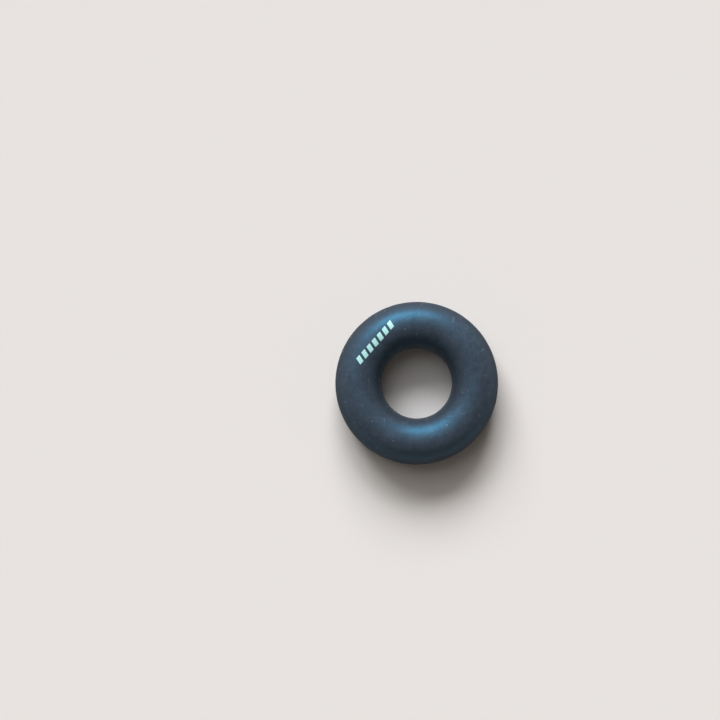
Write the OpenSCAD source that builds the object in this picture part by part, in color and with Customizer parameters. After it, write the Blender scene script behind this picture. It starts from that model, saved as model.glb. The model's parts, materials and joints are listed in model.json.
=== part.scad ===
// Hand grip ring: one solid silicone ring with a round section, pressed between
// two mould plates that meet at its equator, with a row of plain bars printed on its crest.
// The origin is the ring's centre. +Z is up through the bore and the print is at the front, -Y.

/* [Ring] */
// Diameter across the outside of the smooth skin
ring_od = 50; // [45:0.5:90]
// Diameter of the ring's round section
section_d = 14.1; // [10:0.1:16]

/* [Parting line] */
// Height of the trimmed flash above the skin
flash_proud = 0.1; // [0.05:0.01:0.3]
// Width of the flat crest that trimming leaves on the flash
flash_crest_w = 0.3; // [0.2:0.05:0.6]
// Width of each sloping side of the flash, measured along the bore
flash_flank_w = 0.1; // [0.05:0.01:0.3]

/* [Printed mark] */
// Number of bars in the row
bar_count = 7; // [1:1:8]
// Spacing of the bars along the row
bar_pitch = 2.35; // [2:0.05:2.6]
// Width of each bar along the row
bar_w = 1.5; // [0.5:0.05:1.8]
// Height of each bar across the row
bar_h = 2.2; // [1:0.1:3]
// Lean of each bar from square to the row, in degrees
bar_lean = 15; // [0:1:30]
// Turn of the whole row from the ring's tangent, in degrees
row_turn = 3; // [-8:0.5:8]
// Thickness of the ink on the skin
ink_t = 0.08; // [0.05:0.01:0.2]

/* [Hidden] */

// Facets round the ring and round its section
$fn = 256;

section_r = section_d / 2;
// Radius of the circle that the section's centre runs round
ring_r = ring_od / 2 - section_r;
// The flash starts this far inside the skin, so that the two always merge
flash_root = section_r / 4;
row_length = (bar_count - 1) * bar_pitch;
// How far the top and the bottom of a leaning bar are moved along the row
bar_shift = bar_h / 2 * tan(bar_lean);

// A ring of round section whose skin lies outset beyond the moulding's own
module round_ring(outset) {
    rotate_extrude()
        translate([ring_r, 0])
            circle(r = section_r + outset);
}

// Half of the flash's outline, pointing away from the section's centre along +X
module flash_profile() {
    crest_x = section_r + flash_proud;
    crest_half = flash_crest_w / 2;
    // The flanks carry on at the same slope from the crest down to the root
    root_half = crest_half + flash_flank_w * (flash_proud + flash_root) / flash_proud;
    polygon([
        [section_r - flash_root, -root_half],
        [crest_x, -crest_half],
        [crest_x, crest_half],
        [section_r - flash_root, root_half]
    ]);
}

// The two flash beads: round the outer equator, and round the throat of the bore,
// where the bead's flat crest is the narrowest cylinder that a peg passes
module parting_flash() {
    rotate_extrude()
        translate([ring_r, 0])
            flash_profile();
    rotate_extrude()
        translate([ring_r, 0])
            mirror([1, 0])
                flash_profile();
}

module silicone_ring() {
    color("#30363e") {
        round_ring(0);
        parting_flash();
    }
}

// One leaning bar, seen from above
module bar() {
    polygon([
        [-bar_w / 2 - bar_shift, -bar_h / 2],
        [bar_w / 2 - bar_shift, -bar_h / 2],
        [bar_w / 2 + bar_shift, bar_h / 2],
        [-bar_w / 2 + bar_shift, bar_h / 2]
    ]);
}

// The print is pressed straight down, so its bars are straight prisms cut to the skin
module bar_prisms() {
    translate([0, -ring_r, 0])
        rotate([0, 0, row_turn])
            for (i = [0 : bar_count - 1])
                translate([i * bar_pitch - row_length / 2, 0, 0])
                    linear_extrude(section_r + 2 * ink_t)
                        bar();
}

// Ink of even thickness that follows the skin's double curve
module printed_mark() {
    color("#afe1de")
        intersection() {
            difference() {
                round_ring(ink_t);
                round_ring(0);
            }
            bar_prisms();
        }
}

silicone_ring();
printed_mark();
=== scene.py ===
import json
import math

import bpy
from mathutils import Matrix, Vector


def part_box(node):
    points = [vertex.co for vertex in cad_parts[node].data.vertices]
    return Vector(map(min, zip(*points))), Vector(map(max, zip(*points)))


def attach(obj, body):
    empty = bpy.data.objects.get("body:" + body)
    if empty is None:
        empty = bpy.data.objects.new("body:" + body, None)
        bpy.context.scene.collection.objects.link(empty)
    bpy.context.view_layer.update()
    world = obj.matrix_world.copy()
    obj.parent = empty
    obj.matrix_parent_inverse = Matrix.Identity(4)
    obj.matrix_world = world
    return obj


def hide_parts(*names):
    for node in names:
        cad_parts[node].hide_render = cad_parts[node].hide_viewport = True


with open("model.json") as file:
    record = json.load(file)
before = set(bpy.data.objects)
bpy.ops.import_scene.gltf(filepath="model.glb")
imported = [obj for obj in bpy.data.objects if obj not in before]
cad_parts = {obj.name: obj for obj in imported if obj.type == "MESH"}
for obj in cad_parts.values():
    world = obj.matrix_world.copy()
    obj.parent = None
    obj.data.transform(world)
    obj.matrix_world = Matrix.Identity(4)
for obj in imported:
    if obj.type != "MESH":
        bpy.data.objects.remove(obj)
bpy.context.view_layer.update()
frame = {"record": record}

MM = 0.001
# Two places nearer than this count as one, and the floor lies this far under the ring
hair = 0.01 * MM

# ---------------------------------------------------------------- sizes

# The moulding, read from the frame: the bore's mount gives the narrowest place of its throat
bore = next(mount for mount in frame["record"]["mounts"] if mount["name"] == "bore")
ring_low, ring_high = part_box("silicone_ring")
section_r = (ring_high.z - ring_low.z) / 2
flash_proud = 0.1 * MM
flash_crest_w = 0.3 * MM
flash_flank_w = 0.1 * MM
ring_r = bore["dims"]["r_mm"] * MM + flash_proud + section_r

# The mesh: near enough round that no facet shows in a close view
steps_round_ring = 384
steps_round_section = 128

# Trimming leaves the flash uneven: it dips this far below its full height, every so often
trim_dip = 0.07 * MM
trim_spacing = 1.6 * MM

# Rounding of the flash's edges, which are those that turn by more than this
flash_edge_round = 0.03 * MM
flash_edge_turn = math.radians(25)

# The printed row of plain bars
bar_count = 7
bar_pitch = 2.35 * MM
bar_w = 1.5 * MM
bar_h = 2.2 * MM
bar_lean = math.radians(15)
row_turn = math.radians(3)
bar_corner_r = 0.12 * MM
bar_grid_cuts = 5
# Each bar starts flat, this far above the ring's crest, and is then pressed down on the skin
press_from = 2 * MM

# The film of ink: how far it stands on the skin, how far it is sunk in it, and its rounded rim
ink_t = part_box("printed_mark")[1].z - section_r
ink_root = 0.02 * MM
ink_edge_round = 0.03 * MM
ink_edge_turn = math.radians(60)

# ---------------------------------------------------------------- surface

# Real sizes of what the surface shows. What is finer than this in life is drawn this coarse, to show
smudge_size = 9 * MM
haze_size = 2 * MM
ink_cloud_size = 0.7 * MM
grain_size = 0.35 * MM
grain_depth = 0.01 * MM
speck_spacing = 1.5 * MM
speck_r = 0.2 * MM
speck_soft_rim = 0.1 * MM
speck_fray = 0.12 * MM
speck_length_ratio = 2.5
lint_spacing = 6 * MM
lint_arc_r = 2.2 * MM
lint_kink = 1.6 * MM
lint_length = 2.2 * MM
lint_w = 0.07 * MM

# Where a thing starts and where it is full. Noise runs from 0 to 1 and mostly stays near 0.5, a slope
# is the upward part of a face's direction, and a chance is noise, a random draw and what steepness adds
# The first span is painted light: the pale film grows towards what faces up, so the top reads lit and the
# sides darker
painted_top_light_slope = (0.4, 0.95)
haze_noise = (0.35, 0.65)
catching_slope = (0.75, 0.15)
speck_chance = (0.95, 1.55)
lint_noise = (0.62, 0.66)
smudge_noise = (0.3, 0.7)
ink_thin_noise = (0.5, 0.75)

# How much of what lies under them these hide, the film's share of that where its haze is thin and where
# it is thick, and what the steepest face adds to a speck's chance
# The first is the strength of the pale film on what faces up, which is painted light on the top as well as
# powder
powder_and_top_light_cover = 0.12
dirt_cover = 0.6
lint_cover = 0.7
haze_share = (0.5, 1.5)
catching_gain = 0.2

# Roughness of clean and of handled skin, what rubbing adds at the outer side, and that of the cut flash
skin_roughness = (0.43, 0.49)
rubbed_roughness = 0.27
flash_roughness = 0.33
ink_roughness = 0.45
# Strength of the gloss, and where rubbing starts to dull it, as a share of the way from crest to side
full_gloss = 0.5
rubbed_gloss = 0.2
rubbed_from = 0.6
# Silicone has about 1.43. That of the skin is raised until its gloss is as strong as the real ring's
skin_ior = 1.64
ink_ior = 1.43

# Colours in sRGB, as a screen shows them
rubber_black = "#31343B"
# The pale film on what faces up: a powder tone, and painted light that makes the top read lit and leaves the
# sides darker
powder_and_top_light_grey = "#727E91"
dust_grey = "#8496A4"
ink_pale = "#AFE1DE"
ink_thin = "#A4D6D4"
floor_pale = "#E9E4E0"
lamp_white = "#FAFCFF"
air_low = "#E7E2DE"
air_high = "#5C5751"
# The blue of a window, which the skin's gloss gives back. Linear, with full alpha
gloss_blue = (0.06, 0.58, 1.0, 1)

# ---------------------------------------------------------------- camera, lamps, air and floor

# The camera looks straight down. Pixels are those of a frame 720 pixels square
frame_px = 720
lens_mm = 100
sensor_mm = 36
camera_height = 0.616
ring_centre_right_px = 416.7
ring_centre_down_px = 383.25
print_clock = math.radians(-45.7)

# The lamps. In degrees: how far to the left of the picture's top, how high, and how wide. Then the
# strength: at 1, a lamp straight above would show white paper as white
lamps = [
    ("low_right", -1, 31, 25, 0.77),
    ("low_left", 25, 31, 25, 0.65),
    ("high", 30, 52, 50, 0.22),
]
# The air is pale up to the first height above the horizon, and dim from the second
air_heights = (math.radians(5.5), math.radians(10))

# The floor, in metres: its far rim, then the width and the fall of each ring inwards from there
floor_rim_r = 30
floor_rings = [(12, 0.9), (8, 0.5), (5, 0.2), (3, 0.06)]
floor_sides = 96


# ---------------------------------------------------------------- modelling

def deselect_all():
    bpy.ops.object.select_all(action="DESELECT")


def edit(piece, select_by, wanted):
    """Opens a piece in edit mode, with only the vertices or only the edges picked that pass a test."""
    mesh = piece.data
    for part in (*mesh.vertices, *mesh.edges, *mesh.polygons):
        part.select = False
    if select_by == "EDGE":
        for edge in mesh.edges:
            edge.select = all(wanted(mesh.vertices[i].co) for i in edge.vertices)
    else:
        for vertex in mesh.vertices:
            vertex.select = wanted(vertex.co)
    bpy.context.tool_settings.mesh_select_mode = (select_by == "VERT", select_by == "EDGE", False)
    bpy.ops.object.mode_set(mode="EDIT")


def leave_edit():
    bpy.ops.object.mode_set(mode="OBJECT")


def modify(piece, kind, **settings):
    """Adds a modifier to a piece and applies it."""
    modifier = piece.modifiers.new(kind.lower(), kind)
    for name, value in settings.items():
        setattr(modifier, name, value)
    bpy.context.view_layer.objects.active = piece
    bpy.ops.object.modifier_apply(modifier=modifier.name)


def trimmed_edge_noise():
    noise = bpy.data.textures.new("trimmed_edge", "CLOUDS")
    noise.noise_scale = trim_spacing
    noise.noise_depth = 2
    return noise


def raise_flash(ring):
    """Turns both equators of the ring into a low bead with sloping sides and a flat crest."""
    edit(ring, "EDGE", lambda place: abs(place.z) < hair)
    bpy.ops.mesh.bevel(
        affect="EDGES",
        offset_type="OFFSET",
        offset=flash_crest_w / 2 + flash_flank_w,
        segments=1,
    )
    bpy.ops.mesh.inset(thickness=flash_flank_w, depth=flash_proud)
    bpy.ops.object.vertex_group_assign_new()
    leave_edit()
    crest = ring.vertex_groups.active
    crest.name = "flash_crest"
    modify(ring, "BEVEL", width=flash_edge_round, segments=2, angle_limit=flash_edge_turn)
    modify(
        ring,
        "DISPLACE",
        texture=trimmed_edge_noise(),
        texture_coords="LOCAL",
        vertex_group=crest.name,
        strength=trim_dip,
        mid_level=1.0,
    )


def moulded_ring():
    """The silicone ring: a round section swept round, with the trimmed flash of its parting line."""
    deselect_all()
    bpy.ops.mesh.primitive_torus_add(
        major_radius=ring_r,
        minor_radius=section_r,
        major_segments=steps_round_ring,
        minor_segments=steps_round_section,
    )
    ring = bpy.context.object
    ring.name = "moulded_ring"
    raise_flash(ring)
    bpy.ops.object.shade_smooth()
    modify(ring, "WEIGHTED_NORMAL")
    return ring


def bar_blank():
    """One flat leaning bar with rounded corners, fine enough to bend over the skin."""
    deselect_all()
    bpy.ops.mesh.primitive_plane_add(size=1)
    bar = bpy.context.object
    bpy.ops.transform.resize(value=(bar_w, bar_h, 1))
    bpy.ops.object.transform_apply(location=False, rotation=False, scale=True)
    bar_shift = bar_h / 2 * math.tan(bar_lean)
    for side in (-1, 1):
        edit(bar, "VERT", lambda place: place.y * side > 0)
        bpy.ops.transform.translate(value=(side * bar_shift, 0, 0))
        leave_edit()
    corners = [vertex.co.copy() for vertex in bar.data.vertices]
    edit(bar, "VERT", lambda place: True)
    bpy.ops.mesh.subdivide(number_cuts=bar_grid_cuts)
    leave_edit()
    edit(bar, "VERT", lambda place: min((place - corner).length for corner in corners) < hair)
    bpy.ops.mesh.bevel(affect="VERTICES", offset=bar_corner_r, segments=3)
    leave_edit()
    return bar


def printed_bars(ring):
    """The row of bars, each pressed down on the skin and given its thickness of ink."""
    blank = bar_blank()
    bars = []
    for i in range(bar_count):
        bar = blank.copy()
        bar.data = blank.data.copy()
        bar.name = f"printed_bar_{i + 1}"
        bpy.context.scene.collection.objects.link(bar)
        along = (i - (bar_count - 1) / 2) * bar_pitch
        bar.location = (
            along * math.cos(row_turn),
            along * math.sin(row_turn) - ring_r,
            section_r + press_from,
        )
        bar.rotation_euler = (0, 0, row_turn)
        deselect_all()
        bar.select_set(True)
        bpy.context.view_layer.objects.active = bar
        bpy.ops.object.transform_apply()
        modify(
            bar,
            "SHRINKWRAP",
            target=ring,
            wrap_method="PROJECT",
            use_project_z=True,
            use_negative_direction=True,
            use_positive_direction=False,
        )
        # The film's root is sunk in the skin, so that no gap shows under its edge
        film = ink_t + ink_root
        modify(bar, "SOLIDIFY", thickness=film, offset=(ink_t - ink_root) / film)
        modify(bar, "BEVEL", width=ink_edge_round, segments=2, angle_limit=ink_edge_turn)
        bars.append(bar)
    bpy.data.objects.remove(blank)
    return bars


# ---------------------------------------------------------------- materials

def linear(hex_colour):
    """An sRGB hex colour as linear red, green and blue, with full alpha."""
    parts = [int(hex_colour[i:i + 2], 16) / 255 for i in (1, 3, 5)]
    return [*(p / 12.92 if p <= 0.04045 else ((p + 0.055) / 1.055) ** 2.4 for p in parts), 1]


def output_in_use(node):
    """The first output that a node's settings leave in use."""
    return next(socket for socket in node.outputs if socket.enabled)


def add(tree, kind, inputs=None, **settings):
    """Adds a node. Settings are its properties. Inputs go by identifier. Each is a value, an output
    of another node, or a node, which gives its output in use."""
    made = tree.nodes.new(kind)
    for name, value in settings.items():
        setattr(made, name, value)
    sockets = {socket.identifier: socket for socket in made.inputs}
    for name, value in (inputs or {}).items():
        if isinstance(value, bpy.types.Node):
            value = output_in_use(value)
        if isinstance(value, bpy.types.NodeSocket):
            tree.links.new(value, sockets[name])
        else:
            sockets[name].default_value = value
    return made


def new_material(name, inputs):
    """A material with only its Principled shader, some of whose inputs are set. Gives both."""
    material = bpy.data.materials.new(name)
    material.use_nodes = True
    shader = material.node_tree.nodes["Principled BSDF"]
    for socket, value in inputs.items():
        shader.inputs[socket].default_value = value
    return material, shader


def feed(shader, sources):
    """Links nodes to inputs of a shader, by the inputs' names."""
    for socket, node in sources.items():
        shader.id_data.links.new(output_in_use(node), shader.inputs[socket])


def frayed(tree, place, size, reach):
    """The same place moved about at random: bends of one size, by up to half of the reach."""
    noise = add(tree, "ShaderNodeTexNoise", {"Vector": place, "Scale": 1 / size, "Detail": 1.0})
    return add(
        tree,
        "ShaderNodeVectorMath",
        {"Vector": noise.outputs["Color"], "Vector_001": (reach,) * 3, "Vector_002": place},
        operation="MULTIPLY_ADD",
    )


def dust_specks(tree, place, patches):
    """Where dust sits: 1 on a speck, 0 off it. A cell has at most one, more of them have one in the
    patches, and each is a short ragged fibre that lies its own way."""
    ragged = frayed(tree, place, speck_fray, 2 * speck_fray)
    cells = add(tree, "ShaderNodeTexVoronoi", {"Vector": ragged, "Scale": 1 / speck_spacing})
    chance = add(tree, "ShaderNodeSeparateColor", {"Color": cells.outputs["Color"]})
    crowding = add(tree, "ShaderNodeMath", {"Value": chance, "Value_001": patches}, operation="ADD")
    radius = add(
        tree,
        "ShaderNodeMapRange",
        {
            "Value": crowding,
            "From Min": speck_chance[0],
            "From Max": speck_chance[1],
            "To Max": speck_r,
        },
    )
    away = add(
        tree,
        "ShaderNodeVectorMath",
        {"Vector": ragged, "Vector_001": cells.outputs["Position"]},
        operation="SUBTRACT",
    )
    turn = add(
        tree,
        "ShaderNodeVectorMath",
        {"Vector": cells.outputs["Color"], "Vector_001": (math.tau,) * 3},
        operation="MULTIPLY",
    )
    turned = add(
        tree,
        "ShaderNodeVectorRotate",
        {"Vector": away, "Rotation": turn},
        rotation_type="EULER_XYZ",
    )
    slim = add(
        tree,
        "ShaderNodeVectorMath",
        {"Vector": turned, "Vector_001": (1, 1, 1 / speck_length_ratio)},
        operation="MULTIPLY",
    )
    span = add(tree, "ShaderNodeVectorMath", {"Vector": slim}, operation="LENGTH").outputs["Value"]
    depth = add(tree, "ShaderNodeMath", {"Value": radius, "Value_001": span}, operation="SUBTRACT")
    return add(
        tree,
        "ShaderNodeMapRange",
        {"Value": depth, "From Min": 0.0, "From Max": speck_soft_rim},
        interpolation_type="SMOOTHSTEP",
    )


def lint(tree, place):
    """Where a fibre lies: arcs round scattered points, kinked and broken into short lengths."""
    bent = frayed(tree, place, lint_kink, lint_kink)
    points = add(tree, "ShaderNodeTexVoronoi", {"Vector": bent, "Scale": 1 / lint_spacing})
    away = add(
        tree,
        "ShaderNodeMath",
        {"Value": points, "Value_001": lint_arc_r / lint_spacing},
        operation="SUBTRACT",
    )
    offset = add(tree, "ShaderNodeMath", {"Value": away}, operation="ABSOLUTE")
    line = add(
        tree,
        "ShaderNodeMapRange",
        {"Value": offset, "From Min": lint_w / lint_spacing, "From Max": 0.0},
        interpolation_type="SMOOTHSTEP",
    )
    stretches = add(tree, "ShaderNodeTexNoise", {"Vector": place, "Scale": 1 / lint_length, "Detail": 0.0})
    kept = add(
        tree,
        "ShaderNodeMapRange",
        {
            "Value": stretches,
            "From Min": lint_noise[0],
            "From Max": lint_noise[1],
            "To Max": lint_cover,
        },
    )
    return add(tree, "ShaderNodeMath", {"Value": line, "Value_001": kept}, operation="MULTIPLY")


def blasted_grain(tree, place):
    """The fine relief that a blasted mould leaves on the rubber, and that shows through the ink."""
    grain = add(tree, "ShaderNodeTexNoise", {"Vector": place, "Scale": 1 / grain_size, "Detail": 2.0})
    return add(tree, "ShaderNodeBump", {"Height": grain, "Distance": grain_depth})


def powder_and_painted_top_light(tree, place, up):
    """How much of the pale film covers the skin: painted light, strongest on what faces up so that the top
    reads lit and the sides darker, and made cloudy by an uneven haze of powder.
    """
    lit_top_share = add(
        tree,
        "ShaderNodeMapRange",
        {
            "Value": up,
            "From Min": painted_top_light_slope[0],
            "From Max": painted_top_light_slope[1],
            "To Max": powder_and_top_light_cover,
        },
        interpolation_type="SMOOTHSTEP",
    )
    haze = add(
        tree,
        "ShaderNodeTexNoise",
        {"Vector": place, "Scale": 1 / haze_size, "Detail": 4.0, "Roughness": 0.7},
    )
    uneven = add(
        tree,
        "ShaderNodeMapRange",
        {
            "Value": haze,
            "From Min": haze_noise[0],
            "From Max": haze_noise[1],
            "To Min": haze_share[0],
            "To Max": haze_share[1],
        },
    )
    return add(tree, "ShaderNodeMath", {"Value": lit_top_share, "Value_001": uneven}, operation="MULTIPLY")


def stuck_dirt(tree, place, up, smudges):
    """How much of the skin specks and lint hide. The sides and the flash catch more than the top."""
    steep = add(tree, "ShaderNodeMath", {"Value": up}, operation="ABSOLUTE")
    caught = add(
        tree,
        "ShaderNodeMapRange",
        {
            "Value": steep,
            "From Min": catching_slope[0],
            "From Max": catching_slope[1],
            "To Max": catching_gain,
        },
    )
    patches = add(tree, "ShaderNodeMath", {"Value": smudges, "Value_001": caught}, operation="ADD")
    dirt = add(
        tree,
        "ShaderNodeMath",
        {"Value": dust_specks(tree, place, patches), "Value_001": lint(tree, place)},
        operation="MAXIMUM",
    )
    return add(tree, "ShaderNodeMath", {"Value": dirt, "Value_001": dirt_cover}, operation="MULTIPLY")


def skin_finish(tree, place, smudges):
    """The roughness and the gloss of the skin: duller in handled patches and duller still on the
    rubbed outer side, and smooth on the flash, which a blade cut."""
    handled = add(
        tree,
        "ShaderNodeMapRange",
        {
            "Value": smudges,
            "From Min": smudge_noise[0],
            "From Max": smudge_noise[1],
            "To Min": skin_roughness[0],
            "To Max": skin_roughness[1],
        },
    )
    flat = add(tree, "ShaderNodeVectorMath", {"Vector": place, "Vector_001": (1, 1, 0)}, operation="MULTIPLY")
    radius = add(tree, "ShaderNodeVectorMath", {"Vector": flat}, operation="LENGTH").outputs["Value"]
    outer_side = {
        "Value": radius,
        "From Min": ring_r + rubbed_from * section_r,
        "From Max": ring_r + section_r,
    }
    rubbed = add(tree, "ShaderNodeMapRange", {**outer_side, "To Max": rubbed_roughness})
    dullness = add(tree, "ShaderNodeMath", {"Value": handled, "Value_001": rubbed}, operation="ADD")
    shine = add(tree, "ShaderNodeMapRange", {**outer_side, "To Min": full_gloss, "To Max": rubbed_gloss})
    height = add(tree, "ShaderNodeSeparateXYZ", {"Vector": place}).outputs["Z"]
    from_parting = add(tree, "ShaderNodeMath", {"Value": height}, operation="ABSOLUTE")
    on_flash = add(
        tree,
        "ShaderNodeMapRange",
        {
            "Value": from_parting,
            "From Min": flash_crest_w / 2 + flash_flank_w,
            "From Max": flash_crest_w / 2,
        },
    )
    return [
        add(
            tree,
            "ShaderNodeMix",
            {"Factor_Float": on_flash, "A_Float": on_skin, "B_Float": on_cut},
            data_type="FLOAT",
        )
        for on_skin, on_cut in ((dullness, flash_roughness), (shine, full_gloss))
    ]


def matte_black_silicone():
    """Silicone rubber pressed in a blasted mould: near black with a broad soft cool gloss. A pale film on
    what faces up is painted light as well as powder, lighter on the top and darker down the sides, and specks
    and lint stick all over, most near the flash."""
    material, shader = new_material(
        "matte_black_silicone", {"IOR": skin_ior, "Specular Tint": gloss_blue}
    )
    tree = material.node_tree
    where = add(tree, "ShaderNodeTexCoord")
    place = where.outputs["Object"]
    up = add(tree, "ShaderNodeSeparateXYZ", {"Vector": where.outputs["Normal"]}).outputs["Z"]
    smudges = add(tree, "ShaderNodeTexNoise", {"Vector": place, "Scale": 1 / smudge_size, "Detail": 2.0})
    colour = linear(rubber_black)
    # The first cover is painted light as well as powder: a pale film that lights the top and leaves the sides
    # darker
    for cover, cover_colour in (
        (powder_and_painted_top_light(tree, place, up), powder_and_top_light_grey),
        (stuck_dirt(tree, place, up, smudges), dust_grey),
    ):
        colour = add(
            tree,
            "ShaderNodeMix",
            {"Factor_Float": cover, "A_Color": colour, "B_Color": linear(cover_colour)},
            data_type="RGBA",
        )
    roughness, gloss = skin_finish(tree, place, smudges)
    feed(
        shader,
        {
            "Base Color": colour,
            "Roughness": roughness,
            "Specular IOR Level": gloss,
            "Normal": blasted_grain(tree, place),
        },
    )
    return material


def pale_silicone_ink():
    """Silicone ink from a printing pad: opaque and pale, a little thinner in cloudy patches."""
    material, shader = new_material("pale_silicone_ink", {"IOR": ink_ior, "Roughness": ink_roughness})
    tree = material.node_tree
    place = add(tree, "ShaderNodeTexCoord").outputs["Object"]
    clouds = add(tree, "ShaderNodeTexNoise", {"Vector": place, "Scale": 1 / ink_cloud_size, "Detail": 2.0})
    thin = add(
        tree,
        "ShaderNodeMapRange",
        {"Value": clouds, "From Min": ink_thin_noise[0], "From Max": ink_thin_noise[1]},
    )
    ink = add(
        tree,
        "ShaderNodeMix",
        {"Factor_Float": thin, "A_Color": linear(ink_pale), "B_Color": linear(ink_thin)},
        data_type="RGBA",
    )
    feed(shader, {"Base Color": ink, "Normal": blasted_grain(tree, place)})
    return material


def floor_paper():
    """Matte paper: pale and even, with no gloss."""
    return new_material(
        "floor_paper",
        {"Base Color": linear(floor_pale), "Roughness": 1.0, "Specular IOR Level": 0.0},
    )[0]


# ---------------------------------------------------------------- the studio

def aim_camera():
    """Straight down, turned so that the print lies where the clock angle says."""
    lens = bpy.data.cameras.new("camera")
    lens.lens = lens_mm
    lens.sensor_width = sensor_mm
    camera = bpy.data.objects.new("camera", lens)
    bpy.context.scene.collection.objects.link(camera)
    bpy.context.scene.camera = camera
    m_per_px = camera_height * sensor_mm / lens_mm / frame_px
    # The print is at the front, -Y, which is at six o'clock until the camera is turned
    turn = math.pi + print_clock
    right = (frame_px / 2 - ring_centre_right_px) * m_per_px
    up = (ring_centre_down_px - frame_px / 2) * m_per_px
    camera.location = (
        right * math.cos(turn) - up * math.sin(turn),
        right * math.sin(turn) + up * math.cos(turn),
        camera_height,
    )
    camera.rotation_euler = (0, 0, turn)
    return turn


def soft_sun(name, compass, height, width, strength):
    """A far soft lamp, so that the floor is lit evenly. Compass is counted from +X towards +Y."""
    lamp = bpy.data.lights.new(name, "SUN")
    lamp.angle = width
    lamp.energy = strength * math.pi
    lamp.color = linear(lamp_white)[:3]
    holder = bpy.data.objects.new(name, lamp)
    bpy.context.scene.collection.objects.link(holder)
    holder.rotation_euler = (math.pi / 2 - height, 0, compass + math.pi / 2)


def studio_air():
    """A little warm light from all round, and pale low down, where a low view looks past the floor."""
    world = bpy.data.worlds.new("studio_air")
    world.use_nodes = True
    tree = world.node_tree
    # In a world, Generated is the direction looked in, so its Z is the sine of the height
    heading = add(tree, "ShaderNodeTexCoord").outputs["Generated"]
    height = add(tree, "ShaderNodeSeparateXYZ", {"Vector": heading}).outputs["Z"]
    dimmed = add(
        tree,
        "ShaderNodeMapRange",
        {
            "Value": height,
            "From Min": math.sin(air_heights[0]),
            "From Max": math.sin(air_heights[1]),
        },
        interpolation_type="SMOOTHSTEP",
    )
    colour = add(
        tree,
        "ShaderNodeMix",
        {"Factor_Float": dimmed, "A_Color": linear(air_low), "B_Color": linear(air_high)},
        data_type="RGBA",
    )
    feed(tree.nodes["Background"], {"Color": colour})
    bpy.context.scene.world = world


def light_studio(camera_turn):
    """Two low soft lamps side by side beyond the print, and a broad one above them, which act as one
    tall window."""
    picture_top = camera_turn + math.pi / 2
    for name, aside, height, width, strength in lamps:
        soft_sun(
            name, picture_top + math.radians(aside), math.radians(height), math.radians(width), strength
        )
    studio_air()


def lay_floor():
    """A wide floor that rises gently far off, so that it fills a low view nearly up to the top."""
    deselect_all()
    bpy.ops.mesh.primitive_circle_add(
        vertices=floor_sides,
        radius=floor_rim_r,
        fill_type="NGON",
        location=(0, 0, ring_low.z - hair + sum(fall for width, fall in floor_rings)),
    )
    floor = bpy.context.object
    floor.name = "floor"
    bpy.ops.object.mode_set(mode="EDIT")
    for width, fall in floor_rings:
        bpy.ops.mesh.inset(thickness=width, depth=-fall)
    leave_edit()
    bpy.ops.object.shade_smooth()
    floor.data.materials.append(floor_paper())


# ---------------------------------------------------------------- the object

ring = moulded_ring()
ring.data.materials.append(matte_black_silicone())
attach(ring, "root")
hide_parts("silicone_ring")

ink = pale_silicone_ink()
for bar in printed_bars(ring):
    bar.data.materials.append(ink)
    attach(bar, "root")
    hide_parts("printed_mark")

lay_floor()
light_studio(aim_camera())
bpy.context.scene.view_settings.view_transform = "Standard"
